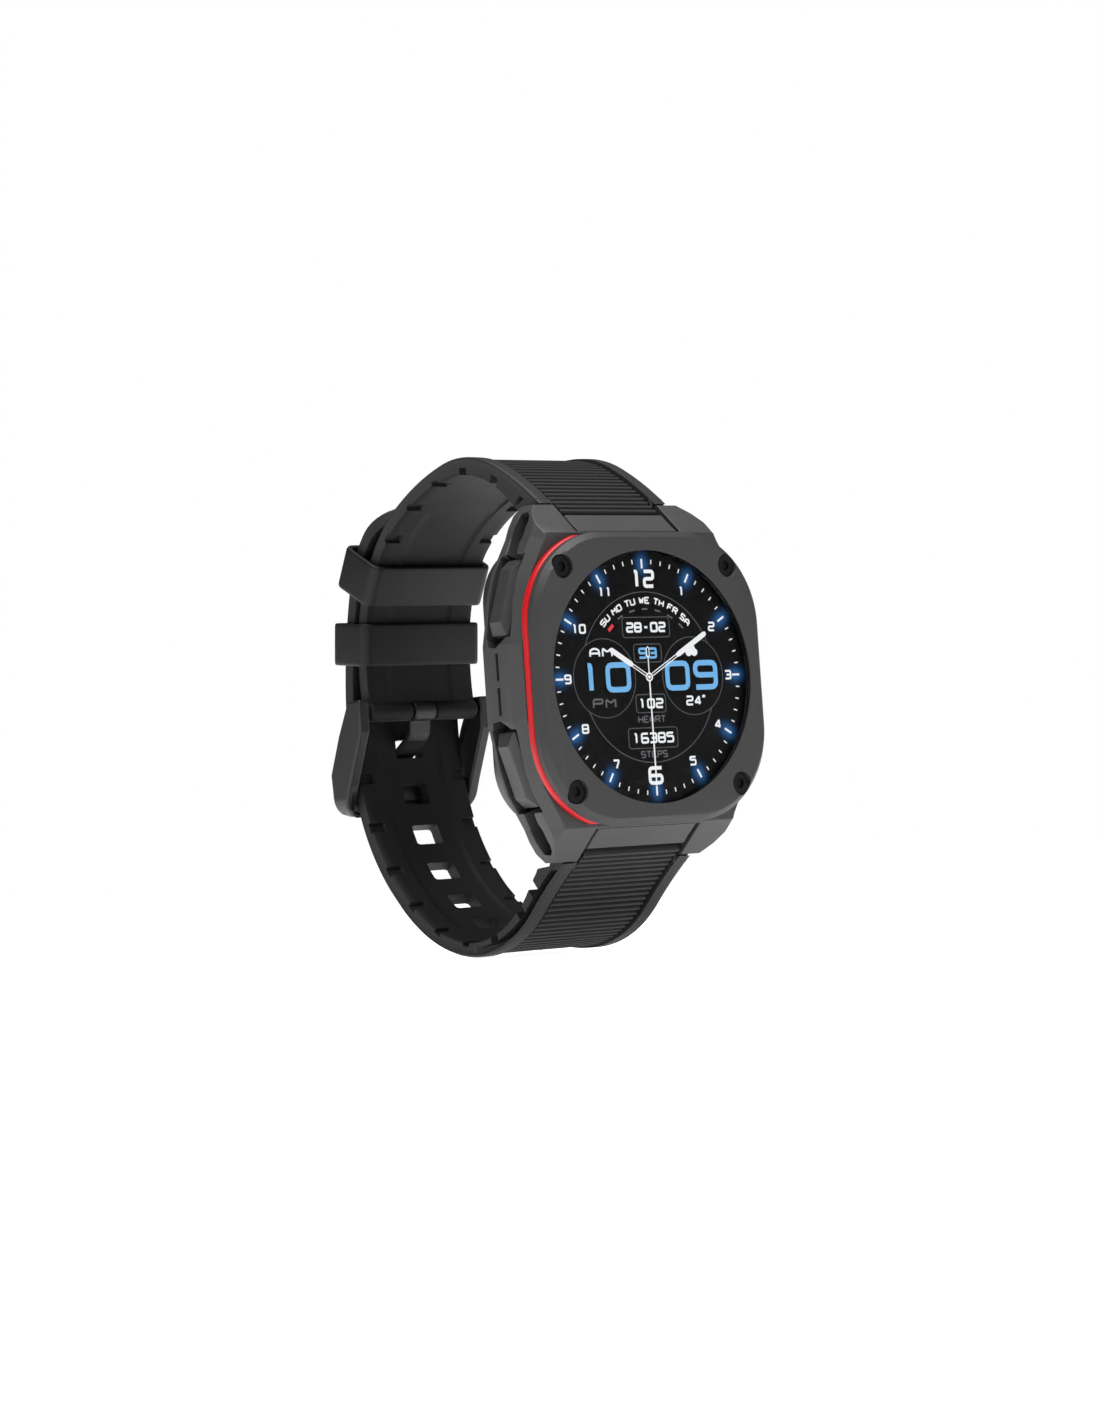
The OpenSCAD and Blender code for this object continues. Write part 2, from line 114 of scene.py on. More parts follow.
right, up, back = view_axes(AZIMUTH, ELEVATION, ROLL)
eye = HEAD + DISTANCE * back + OFF_CENTRE[0] * right + OFF_CENTRE[1] * up
camera = bpy.data.objects.new("camera", bpy.data.cameras.new("camera"))
camera.data.lens, camera.data.sensor_width, camera.data.clip_start = LENS, 36.0, 0.01
camera.matrix_world = Matrix([[*row, 0.0] for row in np.stack([right, up, back], 1)] + [[0, 0, 0, 1]])
camera.location = eye
bpy.context.scene.collection.objects.link(camera)
bpy.context.scene.camera = camera
print("camera at, m:", eye.round(4))

# %% [markdown]
# A product studio is mostly light and little object: a white sweep that fills the background, one
# large soft box above and a fainter one on each side. The sweep also lights the watch from
# below, which is why its lower bevels are as bright as the upper ones.


# %% Studio
def soft_box(name, place, size, watts):
    """A square area light at a place in metres, turned to face the origin."""
    light = bpy.data.lights.new(name, "AREA")
    light.size, light.energy = size, watts
    lamp = bpy.data.objects.new(name, light)
    lamp.location = place
    lamp.rotation_euler = (-Vector(place)).to_track_quat("-Z", "Y").to_euler()
    bpy.context.scene.collection.objects.link(lamp)


soft_box("top_box", (-0.05, -0.14, 0.62), 0.45, 9.0)
soft_box("left_box", (-0.70, 0.02, 0.10), 0.3, 0.9)
soft_box("front_box", (0.30, -0.70, 0.30), 0.3, 0.8)

bpy.context.scene.view_settings.view_transform = "Standard"
sky = bpy.data.worlds.new("studio")
bpy.context.scene.world = sky
sky.use_nodes = True
nodes, links = sky.node_tree.nodes, sky.node_tree.links
nodes.clear()
seen, room = nodes.new("ShaderNodeBackground"), nodes.new("ShaderNodeBackground")
seen.inputs["Strength"].default_value, room.inputs["Strength"].default_value = 1.0, 0.10
choose, path_kind, out = (nodes.new("ShaderNode" + kind)
                          for kind in ("MixShader", "LightPath", "OutputWorld"))
for background in (seen, room):
    background.inputs["Color"].default_value = (1, 1, 1, 1)
links.new(path_kind.outputs["Is Camera Ray"], choose.inputs[0])
links.new(room.outputs[0], choose.inputs[1])
links.new(seen.outputs[0], choose.inputs[2])
links.new(choose.outputs[0], out.inputs["Surface"])

# %% [markdown]
# Every finish below is a small node tree. Writing node trees by hand is slow to read, so a socket
# gets a wrapper: adding or multiplying two wrapped sockets adds the Math node that does it.


# %% Shader helpers
class Value:
    """A number socket of a finish. Arithmetic on it adds Math nodes."""

    def __init__(self, finish, socket):
        self.finish, self.socket = finish, socket

    def math(self, operation, first, second=0.0):
        return self.finish.node("ShaderNodeMath", {"operation": operation}, first, second)

    def __add__(self, other):
        return self.math("ADD", self, other)

    def __sub__(self, other):
        return self.math("SUBTRACT", self, other)

    def __rsub__(self, other):
        return self.math("SUBTRACT", other, self)

    def __mul__(self, other):
        return self.math("MULTIPLY", self, other)

    def __truediv__(self, other):
        return self.math("DIVIDE", self, other)

    def __pow__(self, other):
        return self.math("POWER", self, other)

    __radd__, __rmul__ = __add__, __mul__

    def apply(self, operation, second=0.0):
        return self.math(operation, self, second)


class Finish:
    """A material with one Principled shader, whose constants are set by name."""

    def __init__(self, name, **constants):
        self.material = bpy.data.materials.new(name)
        self.material.use_nodes = True
        self.tree = self.material.node_tree
        self.shader = self.tree.nodes["Principled BSDF"]
        for key, value in constants.items():
            self.shader.inputs[key.replace("_", " ")].default_value = value

    def node(self, kind, settings, *inputs, output=0, **named):
        """Adds a node: its settings first, then the values or links of its sockets."""
        made = self.tree.nodes.new(kind)
        for key, value in settings.items():
            if key == "stops":
                ramp = made.color_ramp
                for element, (place, shade) in zip(ramp.elements, value):
                    element.position, element.color = place, (*shade, 1)
                for place, shade in value[2:]:
                    ramp.elements.new(place).color = (*shade, 1)
            else:
                setattr(made, key, value)
        for key, value in [*enumerate(inputs), *named.items()]:
            socket = made.inputs[key.replace("_", " ") if isinstance(key, str) else key]
            if isinstance(value, Value):
                self.tree.links.new(value.socket, socket)
            else:
                socket.default_value = value
        return Value(self, made.outputs[output])

    def place(self):
        return self.node("ShaderNodeTexCoord", {}, output="Object")

    def noise(self, per_mm, detail=3.0, roughness=0.5):
        """Noise in object space, with about per_mm features in a millimetre."""
        return self.node("ShaderNodeTexNoise", {}, self.place(), Scale=per_mm / MM,
                         Detail=detail, Roughness=roughness)

    def between(self, factor, low, high):
        """A colour mixed from low, at factor 0, to high, at factor 1."""
        made = self.tree.nodes.new("ShaderNodeMix")
        made.data_type = "RGBA"
        for index, value in zip((0, 6, 7), (factor, low, high)):
            if isinstance(value, Value):
                self.tree.links.new(value.socket, made.inputs[index])
            else:
                made.inputs[index].default_value = value if index == 0 else (*value, 1)
        return Value(self, made.outputs[2])

    def feed(self, socket, value):
        self.tree.links.new(value.socket, self.shader.inputs[socket])

    def bump(self, height, distance_mm, strength=1.0):
        self.feed("Normal", self.node("ShaderNodeBump", {}, Height=height,
                                      Distance=distance_mm * MM, Strength=strength))


print("helpers ready")

# %% [markdown]
# Most of this watch is black, so its finishes differ in how they scatter light and not in colour:
# a blasted and coated metal plate, a finely grained moulded case, and a matt silicone strap that
# picks up dust and skin marks. Each one is a noise at the real grain size that tips the surface a
# little, and a slower noise that changes the roughness.


# %% Finishes of the outside
def grained(name, shade, roughness, grain_per_mm, grain_depth, cloud=0.12, **constants):
    """A matt finish: grain_depth is the height of its grain in mm, cloud how far the shade drifts."""
    finish = Finish(name, **constants)
    grain = finish.noise(grain_per_mm)
    drift = finish.noise(0.12, detail=4.0, roughness=0.6)
    dark, light = (tuple(np.array(shade) * (1 + side * cloud)) for side in (-1, 1))
    finish.feed("Base Color", finish.between(drift * 0.7 + grain * 0.3, dark, light))
    finish.feed("Roughness", (drift - 0.5) * 0.16 + (grain - 0.5) * 0.08 + roughness)
    finish.bump(grain, grain_depth)
    return finish.material


finishes = {
    "bezel_coat": grained("bezel_coat", (0.021, 0.021, 0.021), 0.56, 6.0, 0.010,
                          Specular_IOR_Level=0.3),
    "black_screw": grained("black_screw", (0.004, 0.004, 0.004), 0.5, 8.0, 0.006,
                           Specular_IOR_Level=0.1),
    "red_trim": grained("red_trim", (0.36, 0.003, 0.006), 0.4, 3.0, 0.004,
                        Specular_IOR_Level=0.25),
    "gasket": grained("gasket", (0.006, 0.006, 0.006), 0.70, 5.0, 0.010),
    "case_plastic": grained("case_plastic", (0.025, 0.025, 0.025), 0.55, 7.0, 0.012,
                            Specular_IOR_Level=0.35),
    "chassis_plastic": grained("chassis_plastic", (0.13, 0.13, 0.14), 0.5, 5.0, 0.010),
    "cover_plastic": grained("cover_plastic", (0.012, 0.012, 0.013), 0.38, 7.0, 0.006),
    "pusher_metal": grained("pusher_metal", (0.022, 0.022, 0.022), 0.45, 9.0, 0.005,
                            Specular_IOR_Level=0.35),
    "strap_rubber": grained("strap_rubber", (0.0105, 0.0105, 0.0105), 0.6, 4.0, 0.014, 0.18,
                            Specular_IOR_Level=0.25),
    # painted shade: a darker copy of strap_rubber for the wrist side of the strap, which sees less
    # light
    "strap_lining": grained("strap_lining", (0.005, 0.005, 0.005), 0.62, 4.0, 0.014, 0.18,
                            Specular_IOR_Level=0.16),
    "keeper_rubber": grained("keeper_rubber", (0.006, 0.006, 0.006), 0.5, 4.0, 0.012, 0.15,
                             Specular_IOR_Level=0.2),
    "buckle_coat": grained("buckle_coat", (0.008, 0.008, 0.008), 0.4, 9.0, 0.005,
                           Specular_IOR_Level=0.3),
    "component_black": grained("component_black", (0.02, 0.02, 0.02), 0.6, 5.0, 0.010),
    "battery_wrap": grained("battery_wrap", (0.42, 0.42, 0.39), 0.35, 1.2, 0.030),
}
print("matt finishes:", len(finishes))

# %% [markdown]
# Some hidden parts have a pattern of their own: a board has copper tracks under a green mask,
# turned steel has fine rings of scratches, and gold contacts are soft and bright. The glass is
# nearly clear, so most of what it shows comes from the display behind it.


# %% Finishes of the works
def board_finish():
    """Green mask over tracks: two square waves of the object's x and z, broken up by cells."""
    finish = Finish("circuit_board", Coat_Weight=0.3)
    cells = finish.node("ShaderNodeTexVoronoi", {"distance": "MANHATTAN"}, finish.place(),
                        Scale=0.9 / MM, output="Distance")
    track = cells.apply("PINGPONG", 0.12) * 8
    finish.feed("Base Color", finish.between(track, (0.004, 0.05, 0.02), (0.015, 0.16, 0.06)))
    finish.feed("Roughness", track * 0.2 + 0.35)
    finish.bump(track, 0.03)
    return finish.material


def brushed(name, shade, roughness):
    """Metal with fine marks: a noise stretched along x changes the roughness and tips the surface."""
    finish = Finish(name, Metallic=1.0)
    stretched = finish.node("ShaderNodeMapping", {}, finish.place(), Scale=(0.06, 1.0, 1.0))
    marks = finish.node("ShaderNodeTexNoise", {}, stretched, Scale=14 / MM, Detail=2.0)
    finish.feed("Base Color", finish.between(marks, tuple(0.8 * c for c in shade), shade))
    finish.feed("Roughness", marks * 0.2 + roughness)
    finish.bump(marks, 0.004)
    return finish.material


def glass_finish(name, shade, alpha, roughness):
    """Clear cover: a faint film of smudges makes it a little more visible in places."""
    finish = Finish(name, IOR=1.5, Specular_IOR_Level=0.25)
    smudge = finish.noise(0.25, detail=5.0)
    finish.feed("Base Color", finish.between(smudge, shade, tuple(1.2 * c for c in shade)))
    finish.feed("Roughness", smudge * 0.05 + roughness)
    finish.feed("Alpha", smudge * 0.02 + alpha)
    return finish.material


finishes |= {
    "circuit_board": board_finish(),
    "bare_steel": brushed("bare_steel", (0.55, 0.55, 0.57), 0.22),
    "gold_contact": brushed("gold_contact", (0.83, 0.62, 0.26), 0.18),
    "cover_glass": glass_finish("cover_glass", (0.004, 0.004, 0.005), 0.03, 0.02),
    "sensor_glass": glass_finish("sensor_glass", (0.01, 0.01, 0.012), 0.82, 0.06),
}
print("finishes:", len(finishes))

# %% [markdown]
# The display is a black panel that glows. A soft blue spot behind each hour mark is part of the
# picture that it shows. The spots are one formula: fold the angle round the dial into a twelfth,
# and let the light fall off with the distance from the middle of that twelfth and from the rim.

# %% Display finish
DIAL_R = 17.4


def display_finish():
    """Blue light = exp(-(across/width)^2 - (radius - rim)^2/length^2), in each twelfth of the dial."""
    finish = Finish("display", Roughness=0.35, Emission_Strength=1.0, Specular_IOR_Level=0.1)
    split = finish.node("ShaderNodeSeparateXYZ", {}, finish.place())
    x, z = split, Value(finish, split.socket.node.outputs[2]) - float(HEAD[2])
    radius = (x * x + z * z).apply("SQRT") / (DIAL_R * MM)
    twelfth = 2 * np.pi / 12
    angle = x.math("ARCTAN2", x, z) + (2 * np.pi + twelfth / 2)
    across = (angle.apply("MODULO", twelfth) - twelfth / 2) * radius
    fall = (across / 0.055) ** 2 + ((radius - 0.95) / 0.075) ** 2
    glow = (fall * -1).apply("EXPONENT")
    grid = finish.node("ShaderNodeTexChecker", {}, finish.place(), Scale=7 / MM, output="Fac")
    finish.feed("Base Color", finish.between(grid, (0.001, 0.001, 0.001), (0.002, 0.002, 0.002)))
    finish.feed("Emission Color", finish.between(glow * (grid * 0.15 + 0.85), (0, 0, 0),
                                                 (0.02, 0.12, 0.34)))
    return finish.material


def lit(name, shade, strength=1.0):
    """Lit dots of the display: a colour that the dot grid makes a little uneven."""
    finish = Finish(name, Base_Color=(0, 0, 0, 1), Roughness=0.5, Emission_Strength=strength)
    grid = finish.node("ShaderNodeTexChecker", {}, finish.place(), Scale=7 / MM, output="Fac")
    finish.feed("Emission Color", finish.between(grid, tuple(0.9 * c for c in shade), shade))
    return finish.material


finishes["display"] = display_finish()
lit_white = lit("lit_white", (0.92, 0.94, 0.96))
lit_blue = lit("lit_blue", (0.15, 0.47, 0.86))
lit_grey = lit("lit_grey", (0.10, 0.10, 0.11))
lit_line = lit("lit_line", (0.055, 0.060, 0.066))
lit_red = lit("lit_red", (0.75, 0.02, 0.03))
for part in frame["record"]["subparts"]:
    node = frame["nodes"][part["node"]]
    node.data.materials.clear()
    node.data.materials.append(finishes[part["material_slot"]])

# %% [markdown]
# A mesh is a list of points and a list of faces. Nearly every new piece here is a shell between
# two sheets of points on the same grid: an outer skin, an inner skin and a rim that closes them.
# Leaving cells out of both skins gives a hole with walls, or an edge of any outline.


# %% Mesh helpers
def piece(name, points, faces, finish, body, smooth=35.0):
    """A mesh piece from points in head millimetres, on a body. Edges sharper than smooth stay."""
    mesh = bpy.data.meshes.new(name)
    mesh.from_pydata((np.reshape(points, (-1, 3)) * MM + HEAD).tolist(), [], faces)
    mesh.materials.append(finish)
    made = bpy.data.objects.new(name, mesh)
    bpy.context.scene.collection.objects.link(made)
    work = bmesh.new()
    work.from_mesh(mesh)
    bmesh.ops.remove_doubles(work, verts=work.verts, dist=1e-7)
    bmesh.ops.recalc_face_normals(work, faces=work.faces)
    work.to_mesh(mesh)
    work.free()
    mesh.shade_smooth()
    mesh.set_sharp_from_angle(angle=np.radians(smooth))
    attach(made, body)
    return made


def shell_faces(keep, wrap=False):
    """Faces of the shell between two sheets of (rows + 1) by (columns + 1) points. keep says which
    cells are there. Each edge between a kept and a missing cell gets a wall. With wrap, the last
    row of cells joins the first row of points."""
    rows, cols = keep.shape
    points = np.arange((rows + (not wrap)) * (cols + 1)).reshape(-1, cols + 1)
    if wrap:
        points = np.vstack([points, points[:1]])
    jump = (rows + (not wrap)) * (cols + 1)
    a, b, c, d = points[:-1, :-1], points[1:, :-1], points[1:, 1:], points[:-1, 1:]
    faces = [np.stack([a, b, c, d], -1)[keep], np.stack([a, d, c, b], -1)[keep] + jump]
    edge_row = keep[-1:] if wrap else np.zeros((1, cols), bool)
    above = keep & ~np.vstack([edge_row, keep[:-1]])
    edge_row = keep[:1] if wrap else np.zeros((1, cols), bool)
    below = keep & ~np.vstack([keep[1:], edge_row])
    none = np.zeros((rows, 1), bool)
    left = keep & ~np.hstack([none, keep[:, :-1]])
    right_side = keep & ~np.hstack([keep[:, 1:], none])
    for mask, p, q in ((above, a, d), (below, c, b), (left, b, a), (right_side, d, c)):
        faces.append(np.stack([p, q, q + jump, p + jump], -1)[mask])
    return np.concatenate(faces).tolist()


def joined(*shells):
    """Several (points, faces) shells as one: each shell's faces count on from the points before."""
    counts = np.cumsum([0] + [len(np.reshape(p, (-1, 3))) for p, _ in shells])
    points = np.concatenate([np.reshape(p, (-1, 3)) for p, _ in shells])
    faces = [[i + int(start) for i in face]
             for (_, own), start in zip(shells, counts) for face in own]
    return points, faces


print("a shell of 3 by 2 cells has", len(shell_faces(np.ones((3, 2), bool))), "faces")

# %% [markdown]
# Moulded and machined edges are never perfectly sharp. The case, the bezel plate, the pushers and
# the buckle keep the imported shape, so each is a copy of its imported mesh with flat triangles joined
# and a small bevel on what edges remain. The bevel catches the light as the real edges do.


# %% Case, bezel plate, pushers and buckle with rounded edges
def softened(node, width, segments=2, flat=1.0):
    """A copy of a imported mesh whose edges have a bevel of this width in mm."""
    source = frame["nodes"][node]
    made = bpy.data.objects.new(node + "_rounded", source.data.copy())
    bpy.context.scene.collection.objects.link(made)
    work = bmesh.new()
    work.from_mesh(made.data)
    bmesh.ops.remove_doubles(work, verts=work.verts, dist=2e-6)
    bmesh.ops.dissolve_limit(work, angle_limit=np.radians(flat), verts=work.verts, edges=work.edges)
    work.to_mesh(made.data)
    work.free()
    made.data.shade_smooth()
    made.data.set_sharp_from_angle(angle=np.radians(30))
    bevel = made.modifiers.new("round_edges", "BEVEL")
    bevel.width, bevel.segments, bevel.angle_limit = width * MM, segments, np.radians(30)
    bevel.use_clamp_overlap = False
    bevel.harden_normals = True
    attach(made, source["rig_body"])
    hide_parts(node)
    print(made.name, "faces before its bevel:", len(made.data.polygons))


softened("bezel_plate", 0.10)
softened("mid_case", 0.14)
softened("red_trim_ring", 0.4, 3)
softened("buckle_frame", 0.45, 3)
softened("buckle_tongue", 0.25)
for pusher in ("upper_left", "lower_left", "upper_right", "lower_right"):
    softened("pusher_" + pusher, 0.16)

# %% [markdown]
# A strap half is one moulding: two smooth rails with a channel between them, cross ribs in the
# first part of the channel, and pockets cut into the wrist side. All of it follows one bent
# line. Its centre line is a chain of arcs, so a point on it is a sum that works for every row.

# %% Strap centre lines
UPPER = ((9.0, 25.0), 40.5, ((12.6, -12.7), (13.4, -38.6), (14.6, -16.9), (21.4, -52.0), (13.0, -18.0)))
LOWER = ((9.0, 25.2), 34.7, ((11.5, 9.3), (17.6, -48.0), (18.4, -34.8), (19.5, -34.6), (13.2, -17.1),
                             (22.9, -17.4), (14.0, -48.3)))


def follow_arcs(line, s):
    """Depth, height and heading at each length s along a line of (start, heading, stretches). In a
    stretch the heading turns evenly, and its place is the chord of a circle whose radius is the
    length of the stretch over its turn."""
    start, heading, stretches = line
    run, turn = np.array(stretches).T
    knots = np.concatenate([[0], np.cumsum(run)])
    headings = np.radians(heading + np.concatenate([[0], np.cumsum(turn)]))
    radius = run / np.radians(turn)
    chords = radius[:, None] * np.stack([np.diff(np.sin(headings)), -np.diff(np.cos(headings))], 1)
    places = np.array(start) + np.concatenate([[[0, 0]], np.cumsum(chords, 0)])
    i = np.clip(np.searchsorted(knots, s, side="right") - 1, 0, len(run) - 1)
    a = headings[i] + (s - knots[i]) / radius[i]
    y = places[i, 0] + radius[i] * (np.sin(a) - np.sin(headings[i]))
    z = places[i, 1] - radius[i] * (np.cos(a) - np.cos(headings[i]))
    return y, z, a


strap_length = [sum(run for run, _ in line[2]) for line in (UPPER, LOWER)]
print("strap lengths, mm:", strap_length)

# %% [markdown]
# Across the strap, the columns of the grid are set by their distance from its edge, because the
# rails keep their width while the strap gets narrower. The outer sheet draws rail, gutter and
# ribs. The inner sheet draws the flank, with a groove in it on the lower half, and the pockets.

# %% Strap section
FROM_EDGE = np.array([0, 0.05, 0.2, 0.45, 0.8, 1.5, 2.3, 2.45, 2.8, 2.95, 4.1, 4.4])
IN_FROM_EDGE = np.array([0, 0.03, 0.05, 0.06, 0.12, 0.35, 1.5, 2.6, 2.75, 3.9, 4.3, 4.45])
MIDDLE = np.array([5.0, 3.6, 2.5, 2.0, 0.7])
OUT_RAIL = np.array([0.82, 0.93, 1.06, 1.1, 1.1, 1.1, 1.08, 0.05, 0.0])
RIB_PITCH, RIB_GROOVE, RIB_TOP, PLAIN_TOP = 1.1, -0.25, 0.78, 1.05
TAB_HALF, LUG_WALL, LUG_TOP, FOOT_LENGTH = 9.2, 21.62, 26.35, 6.5
POCKET_HALF, POCKET_FLOOR = 0.86, -0.5
HOLE_HALF, HOLE_SIDE, HOLE_CORNER = 1.75, 2.4, 0.146


def half_width(y):
    """12 mm up to a depth of 28, then narrowing evenly to 10.25 at 53."""
    return np.interp(y, [28, 53], [12.0, 10.25])


def rib_height(s, last):
    """Rounded bars: the root of the distance from a groove, which lies at each whole pitch, until
    the bar is at its full height. After last the strap is plain."""
    across = np.abs((s / RIB_PITCH + 0.5) % 1 - 0.5) * 2
    bar = RIB_GROOVE + (RIB_TOP - RIB_GROOVE) * np.clip(across / 0.55, 0, 1) ** 0.5
    return np.where(s < last, bar, PLAIN_TOP)


def strap_rows(length, last_rib, pockets, holes, tip):
    """Lengths of the grid's rows: eight to a rib, closer at pockets, holes and the end."""
    in_rib = [0, 0.06, 0.14, 0.3, 0.5, 0.7, 0.86, 0.94]
    ribs = np.arange(-1, np.floor(last_rib / RIB_PITCH))[:, None] + in_rib
    plain = np.arange(last_rib, length - tip - 0.4, 1.1)
    cuts = np.array(pockets)[:, None] + [-0.92, -0.84, 0.84, 0.92]
    gaps = np.array(holes).reshape(-1, 1) + [-HOLE_HALF, -1.25, 0, 1.25, HOLE_HALF]
    end = length - tip * (1 - np.sin(np.linspace(0, np.pi / 2, 10)))
    rows = np.sort(np.concatenate([x.ravel() for x in (ribs * RIB_PITCH, plain, cuts, gaps, end)]))
    return rows[np.concatenate([[True], np.diff(rows) > 0.02])]


def both_sides(values, sign=1):
    """Columns from the edge to the middle, and then their mirror image."""
    return np.hstack([values, sign * values[:, ::-1]])


print("columns in a strap:", 2 * (len(FROM_EDGE) + len(MIDDLE)))

# %% [markdown]
# One function draws both halves, because they differ only in their line and in what is cut into
# them. Heights above the centre line are worked out for the whole grid at once. The rails start on
# the lug's flat end, so their first rows slide along the line until they meet that plane.


# %% Strap surface
def strap(side, line, last_rib, pockets, holes, tip, groove, fork):
    """The points and faces of one strap half. side is 1 for the upper half and -1 for the lower.
    A point is the centre line, plus the outward normal times the sheet's height there. Ribs end at
    last_rib, pockets and holes are lengths along the line, tip is the radius of the rounded end,
    groove the depth of the groove in the flank, and fork the length of the gap for the tongue."""
    length = sum(run for run, _ in line[2])
    s = strap_rows(length, last_rib, pockets, holes, tip)
    y0, z0, a = follow_arcs(line, s)
    half = half_width(y0)
    tip_scale = np.sqrt(np.clip(1 - (np.clip(s - length + tip, 0, None) / (tip + 0.01)) ** 2, 0, 1))
    scale = (half - tip + tip * tip_scale) / half if tip > 1 else np.ones_like(s)
    full = np.ones((len(s), 1))
    inner = np.interp(s, [0, 6, 11, 30], [2.8, 2.7, 2.0, 1.1])[:, None]
    ribs = rib_height(s, last_rib)[:, None]
    dent = (groove * np.interp(s, [1, 3, 22, 28], [1, 1, 1, 0]))[:, None]
    in_pocket = (np.abs(s[:, None] - np.array(pockets)) < POCKET_HALF).any(1)[:, None]

    out_x = np.hstack([half[:, None] - FROM_EDGE, full * MIDDLE])
    in_edge = IN_FROM_EDGE + dent * np.array([0, 1, 1, 0, 0, 0, 0, 0, 0, 0, 0, 0])
    in_x = np.hstack([half[:, None] - in_edge, full * MIDDLE])
    out_d = np.hstack([full * OUT_RAIL, np.repeat(ribs, 8, 1)])
    lip_d = np.where(in_pocket, POCKET_FLOOR, 0.15 - inner)
    pocket_d = np.where(in_pocket, POCKET_FLOOR, -inner)
    channel_d = np.interp(s, [30, 40], [0.45, 0.1])[:, None] - inner
    in_d = np.hstack([full * [0.74, 0.68, -0.34, -0.42], lip_d, np.repeat(pocket_d, 3, 1),
                      np.repeat(-inner, 3, 1), np.repeat(channel_d, 6, 1)])

    far_away = -99.0
    near = s[:, None] - np.append(holes, far_away)
    near = near[np.arange(len(s)), np.abs(near).argmin(1)]
    corner = np.abs(np.abs(near) - HOLE_HALF) < 0.01
    sheets = []
    for x, d in ((out_x, out_d), (in_x, in_d)):
        s_here = np.repeat(s[:, None], x.shape[1], 1)
        start = (LUG_TOP - z0[0] - d * np.cos(a[0])) / np.sin(a[0]) + s[0]
        rail = (np.arange(x.shape[1]) < len(OUT_RAIL)) & (s_here < FOOT_LENGTH)
        s_here = np.where(rail, start + s_here * (FOOT_LENGTH - start) / FOOT_LENGTH, s_here)
        s_here[:, -3] -= np.where(corner, HOLE_CORNER * np.sign(near), 0)
        x = x * scale[:, None]
        x[:, -3] -= np.where(corner, HOLE_CORNER, 0)
        y, z, turn = follow_arcs(line, s_here)
        y, z = y - d * np.sin(turn), side * (z + d * np.cos(turn))
        sheets.append(np.stack([both_sides(-x, -1), both_sides(y), both_sides(z)], -1))

    keep = np.ones((len(s) - 1, sheets[0].shape[1] - 1), bool)
    middle_s, cols = (s[1:] + s[:-1]) / 2, np.arange(keep.shape[1])
    middle_x = np.abs(sheets[0][:-1, :-1, 0] + sheets[0][:-1, 1:, 0]) / 2
    edge_col = np.minimum(cols, keep.shape[1] - 1 - cols) < len(OUT_RAIL)
    keep &= ~(edge_col & (middle_s < 0)[:, None])
    for hole in holes:
        low = 1.25 if hole == holes[0] else HOLE_HALF
        in_hole = (middle_s > hole - low) & (middle_s < hole + HOLE_HALF)
        keep &= ~(in_hole[:, None] & (middle_x < HOLE_SIDE))
    keep &= ~((middle_s > length - fork)[:, None] & (middle_x < HOLE_SIDE))
    return np.stack(sheets), shell_faces(keep)


print("strap function ready")

# %% [markdown]
# Three small solids belong to each half as well: the eye round the buckle's bar, the smooth block
# between the lugs, and a core under each rail's foot. Each is again a shell on a small grid.


# %% Ends of the strap halves
def sleeve(radius, bore, x0, x1, place):
    """A tube across the strap: a circle of points at each x, once outside and once as the bore."""
    turn = np.linspace(0, 2 * np.pi, 24, endpoint=False)[:, None]
    x = np.array([x0, x0 + 0.25, x1 - 0.25, x1])
    r = np.stack([np.array([radius - 0.25, radius, radius, radius - 0.25]), np.full(4, bore)])
    r = r[:, None, :]
    y, z = place[0] + r * np.cos(turn), place[1] + r * np.sin(turn)
    points = np.stack([x + 0 * y, y, z], -1)
    return points, shell_faces(np.ones((24, 3), bool), wrap=True)


def lug_block(side):
    """The end of a strap half, between the lugs: a front slope, a step down to the ribs, and a base.
    Its profile runs twice, outside and along the base, and its ends are a little rounded."""
    outer = np.array([[3.65, 21.66], [5.5, 23.17], [6.75, 24.29], [6.95, 24.38], [7.08, 24.2],
                      [7.15, 23.9], [7.8, 24.0], [9.4, 25.3], [11.3, 25.6]])
    base = np.stack([outer[:, 0], np.full(len(outer), LUG_WALL)], 1)
    base[0, 0] += 0.1
    x = np.array([-TAB_HALF, 0.15 - TAB_HALF, 0, TAB_HALF - 0.15, TAB_HALF])
    inset = np.array([0.15, 0, 0, 0, 0.15])
    outer = outer[:, None] - inset[:, None] * np.array([-0.5, 0.9])
    base = base[:, None] + 0 * outer
    points = [np.dstack([x + 0 * p[..., 0], p[..., 0], side * p[..., 1]]) for p in (outer, base)]
    return np.stack(points), shell_faces(np.ones((8, 4), bool))


def rail_feet(side):
    """A core under each rail's end, set back from its faces, so a shallow slit shows at the lug."""
    x, y = np.array([9.3, 11.85]), np.array([[9.3], [12.4]])
    made = []
    for sign in (-1, 1):
        low, high = (np.dstack([sign * x + 0 * y, y + 0 * x + shift, np.full((2, 2), side * z)])
                     for z, shift in ((26.0, 0), (27.2, 0.6)))
        made.append((np.stack([low, high]), shell_faces(np.ones((1, 1), bool))))
    return made


print("strap ends ready")

# %% [markdown]
# The halves are now put together. The side that lies on the wrist sees less light, so faces that look
# towards the middle of the wrist take a darker copy of the strap rubber: painted shade on the same
# rubber.

# %% Strap halves
BUCKLE_BAR = (58.3, -0.75)
WRIST_MIDDLE = np.array([0.0, 32.0, 0.0])


